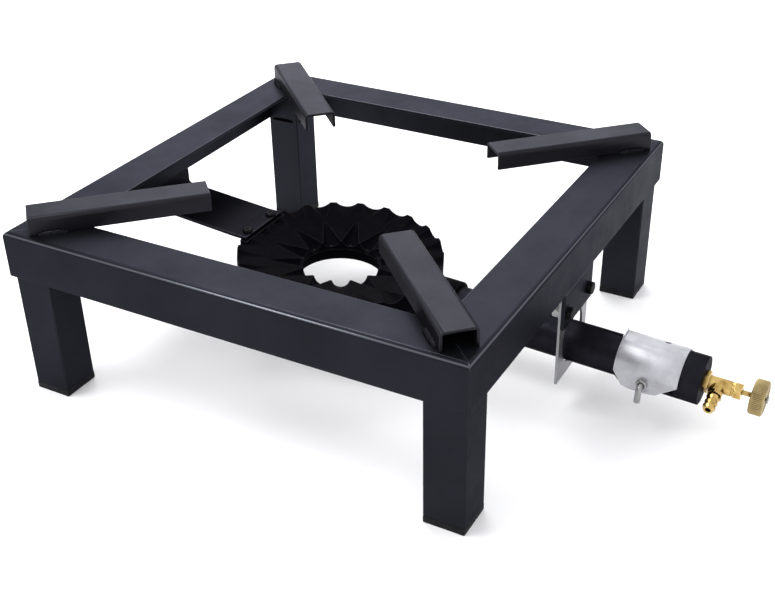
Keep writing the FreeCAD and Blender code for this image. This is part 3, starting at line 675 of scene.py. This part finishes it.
def plate_nuts():
    """Chamfered hexagon nuts of the slotted plate."""
    mesh = bmesh.new()
    corner = BOLT_FLATS / math.sqrt(3)
    face = BOLT_FLATS * HEXAGON_FACE
    hole = BOLT_RADIUS + NUT_HOLE_PLAY
    for points in islands("plate_nuts"):
        low, high = span(points, PLATE_AXIS)
        corners = [(hole, low + 0.0005), (hole + 0.0005, low), (face, low), (corner, low + 0.0006),
                   (corner, high - 0.0006), (face, high), (hole, high), (hole, low + 0.0005)]
        hexagon_body(mesh, line_frame(middle(points), PLATE_AXIS), BOLT_FLATS, corners, 0.0002, 0.0008)
    piece("hexagon_nuts", mesh, "bright_steel", "stand", "bright_steel", "plate_nuts")


def plate_washers():
    """Round washers of the slotted plate, with softened rims."""
    mesh = bmesh.new()
    hole = BOLT_RADIUS + BOLT_HOLE_PLAY
    for points in islands("plate_washers"):
        placement = line_frame(middle(points), PLATE_AXIS)
        low, high = span(points, PLATE_AXIS)
        rim = reach(points, placement)
        halfway = (hole, (low + high) / 2)
        corners = [halfway, (hole, low), (rim, low), (rim, high), (hole, high), halfway]
        turned(mesh, smooth_profile(corners, 0.0003), ROUND_STEPS, placement)
    piece("flat_washers", mesh, "bright_steel", "stand", "bright_steel", "plate_washers")


def cross_cutter(placement, low, high, arm):
    """Tapered cross-shaped punch for a screw's recess."""
    mesh = bmesh.new()
    for turn in (0, 90):
        spin = placement @ Matrix.Rotation(math.radians(turn), 4, "Z")
        rings = []
        for height, half, thick in ((low, arm * 0.45, RECESS_WIDTH * 0.35), (high, arm, RECESS_WIDTH * 0.5)):
            corners = [(-half, -thick), (half, -thick), (half, thick), (-half, thick)]
            rings.append([mesh.verts.new(spin @ Vector((x, y, height))) for x, y in corners])
        bottom, top = rings
        mesh.faces.new(bottom[::-1])
        mesh.faces.new(top)
        for k in range(4):
            after = (k + 1) % 4
            mesh.faces.new([bottom[k], bottom[after], top[after], top[k]])
    data = bpy.data.meshes.new("cutter")
    mesh.to_mesh(data)
    mesh.free()
    cutter = bpy.data.objects.new("cutter", data)
    bpy.context.collection.objects.link(cutter)
    return cutter


def carve(mesh, cutter):
    """Mesh with a cutter taken out of it."""
    data = bpy.data.meshes.new("uncut")
    mesh.to_mesh(data)
    mesh.free()
    body = bpy.data.objects.new("uncut", data)
    bpy.context.collection.objects.link(body)
    cut = body.modifiers.new("cut", "BOOLEAN")
    cut.object = cutter
    cut.solver = "EXACT"
    cut.use_self = True
    held = body.evaluated_get(bpy.context.evaluated_depsgraph_get())
    result = bmesh.new()
    result.from_mesh(held.data)
    bpy.data.objects.remove(body)
    bpy.data.objects.remove(cutter)
    return result


def pan_screws(node, name, axis):
    """Domed screw heads with a cross recess, and plain shanks under them."""
    joined = bmesh.new()
    for points in islands(node):
        low, high = span(points, axis)
        top = [point for point in points if point.dot(axis) > high - SCREW_TOP]
        placement = line_frame(middle(top), axis)
        rim = reach(top, placement)
        seat = high - SCREW_HEAD
        corners = [(0, low), (SCREW_RADIUS, low), (SCREW_RADIUS, seat), (rim, seat),
                   (rim, seat + SCREW_HEAD * 0.45), (rim * 0.72, high), (0, high)]
        head = bmesh.new()
        turned(head, divided(smooth_profile(corners, 0.0009), 0.0010), ROUND_STEPS, placement)
        bmesh.ops.recalc_face_normals(head, faces=head.faces)
        cut = carve(head, cross_cutter(placement, high - SCREW_HEAD * 0.6, high + 0.0005, rim * 0.55))
        data = bpy.data.meshes.new("screw")
        cut.to_mesh(data)
        cut.free()
        joined.from_mesh(data)
    piece(name, joined, "black_steel", "stand", "bright_steel", node)


def lock_nut():
    """Chamfered nut on the shutter's side, with its hole for the locking screw."""
    joint = JOINTS["lock_screw_turn"]
    axis = Vector(joint["axis"]).normalized()
    placement = line_frame(Vector(joint["pos_m"]), axis)
    low, high = span(islands("shutter_nut")[0], axis)
    corner = LOCK_FLATS / math.sqrt(3)
    corners = [(LOCK_HOLE, high - 0.0004), (LOCK_HOLE, high), (corner, high), (corner, low + 0.0007),
               (LOCK_FLATS * HEXAGON_FACE, low), (LOCK_HOLE + 0.0004, low), (LOCK_HOLE, low + 0.0004),
               (LOCK_HOLE, high - 0.0004)]
    mesh = bmesh.new()
    hexagon_body(mesh, placement, LOCK_FLATS, corners, 0.0002, 0.0007)
    piece("lock_nut", mesh, "bright_steel", "shutter", "bright_steel", "shutter_nut")


# ---- Welds -----------------------------------------------------------------------------------
BEAD_RIPPLE = 0.0016
BEAD_STEP = 0.00022
BEAD_ARC = 10


def bead(mesh, corner, along, out, up, length, leg):
    """Fillet weld from a corner along a line: overlapping ripples that taper off at both ends."""
    rows = []
    count = max(8, round(length / BEAD_STEP))
    for i in range(count + 1):
        place = length * i / count
        taper = (1 - abs(2 * i / count - 1) ** 3) ** 0.5
        row = []
        for k in range(BEAD_ARC + 1):
            angle = math.pi / 2 * k / BEAD_ARC
            crescent = place + 0.5 * leg * math.sin(2 * angle)
            ripple = (crescent / BEAD_RIPPLE) % 1
            size = leg * (0.80 + 0.16 * math.sqrt(1 - ripple)) * (0.15 + 0.85 * taper)
            point = corner + along * place + out * (size * math.cos(angle)) + up * (size * math.sin(angle))
            row.append(mesh.verts.new(point))
        row.append(mesh.verts.new(corner + along * place))
        rows.append(row)
    for before, after in zip(rows, rows[1:]):
        for k in range(len(before)):
            other = (k + 1) % len(before)
            mesh.faces.new([before[k], before[other], after[other], after[k]])
    mesh.faces.new(rows[0])
    mesh.faces.new(rows[-1])


def bar_beads():
    """Rippled beads beside the pot bars, in place of the plain CAD ones."""
    mesh = bmesh.new()
    for points in islands("bar_weld_beads"):
        centre = middle(points) - STAND_MIDDLE
        along = Vector((math.copysign(1, centre.x), math.copysign(1, centre.y), 0)).normalized()
        out = UP.cross(along)
        if centre.dot(out) < 0:
            out.negate()
        local = [point - STAND_MIDDLE for point in points]
        low, high = span(local, along)
        corner = STAND_MIDDLE + along * low + out * span(local, out)[0] + UP * span(local, UP)[0]
        bead(mesh, corner, along, out, UP, high - low, BAR_WELD_LEG)
    piece("rippled_bar_beads", mesh, "weld", "stand", "weld", "bar_weld_beads", angle=60)


def leg_beads():
    """Short beads on the two inner faces of each leg, level with the rails' lower edge."""
    mesh = bmesh.new()
    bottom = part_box("front_rail")[0].z
    for name in ("front_left_leg", "front_right_leg", "rear_right_leg", "rear_left_leg"):
        low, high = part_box(name)
        centre = (low + high) / 2 - STAND_MIDDLE
        for axis in (0, 1):
            out = Vector((0, 0, 0))
            out[axis] = -math.copysign(1, centre[axis])
            along = Vector((0, 0, 0))
            along[1 - axis] = 1
            corner = Vector((0, 0, bottom))
            corner[axis] = low[axis] if out[axis] < 0 else high[axis]
            corner[1 - axis] = low[1 - axis] + LEG_WELD_INSET
            length = high[1 - axis] - low[1 - axis] - 2 * LEG_WELD_INSET
            bead(mesh, corner, along, out, UP, length, LEG_WELD_LEG)
    piece("leg_beads", mesh, "weld", "stand", "weld", angle=60)


# ---- Floor and light ---------------------------------------------------------------------------
FLOOR_HALF = 6.0
WORLD_COLOUR = (0.97, 0.97, 1.0, 1)
WORLD_STRENGTH = 1.25
LAMP_TARGET = Vector((0, 0, 0.1))
LAMPS = {"back_lamp": {"place": (1.6, 1.0, 1.4), "size": 1.8, "watts": 38.0},
         "high_lamp": {"place": (-0.66, 0.92, 1.87), "size": 0.9, "watts": 18.0}}


def pale_floor():
    """Plain pale floor, which isn't part of the object."""
    mesh = bpy.data.meshes.new("floor")
    corners = [(x * FLOOR_HALF, y * FLOOR_HALF, 0) for x, y in ((-1, -1), (1, -1), (1, 1), (-1, 1))]
    mesh.from_pydata(corners, [], [(0, 1, 2, 3)])
    s = Surface("pale_floor")
    pale = s.ramp(s.noise(3, 3, 0.5), [(0.3, 0.93), (0.7, 0.95)])
    s.set(Base_Color=pale, Roughness=0.9, Specular_IOR_Level=0.1)
    mesh.materials.append(s.material)
    floor = bpy.data.objects.new("floor", mesh)
    bpy.context.collection.objects.link(floor)


def studio_light():
    """Even light all round, a broad soft lamp behind and a smaller one high up."""
    world = bpy.data.worlds.new("studio")
    world.use_nodes = True
    background = world.node_tree.nodes["Background"]
    background.inputs["Color"].default_value = WORLD_COLOUR
    background.inputs["Strength"].default_value = WORLD_STRENGTH
    bpy.context.scene.world = world
    for name, lamp in LAMPS.items():
        data = bpy.data.lights.new(name, "AREA")
        data.size = lamp["size"]
        data.energy = lamp["watts"]
        made = bpy.data.objects.new(name, data)
        made.location = lamp["place"]
        made.rotation_euler = (LAMP_TARGET - made.location).to_track_quat("-Z", "Y").to_euler()
        bpy.context.collection.objects.link(made)
    bpy.context.scene.view_settings.view_transform = "Standard"


add_camera()
finish_nodes()
knob()
gland()
plate_bolts()
plate_nuts()
plate_washers()
pan_screws("strap_screws", "strap_pan_screws", UPWARD)
pan_screws("crown_screws", "crown_pan_screws", -UPWARD)
lock_nut()
bar_beads()
leg_beads()
pale_floor()
studio_light()
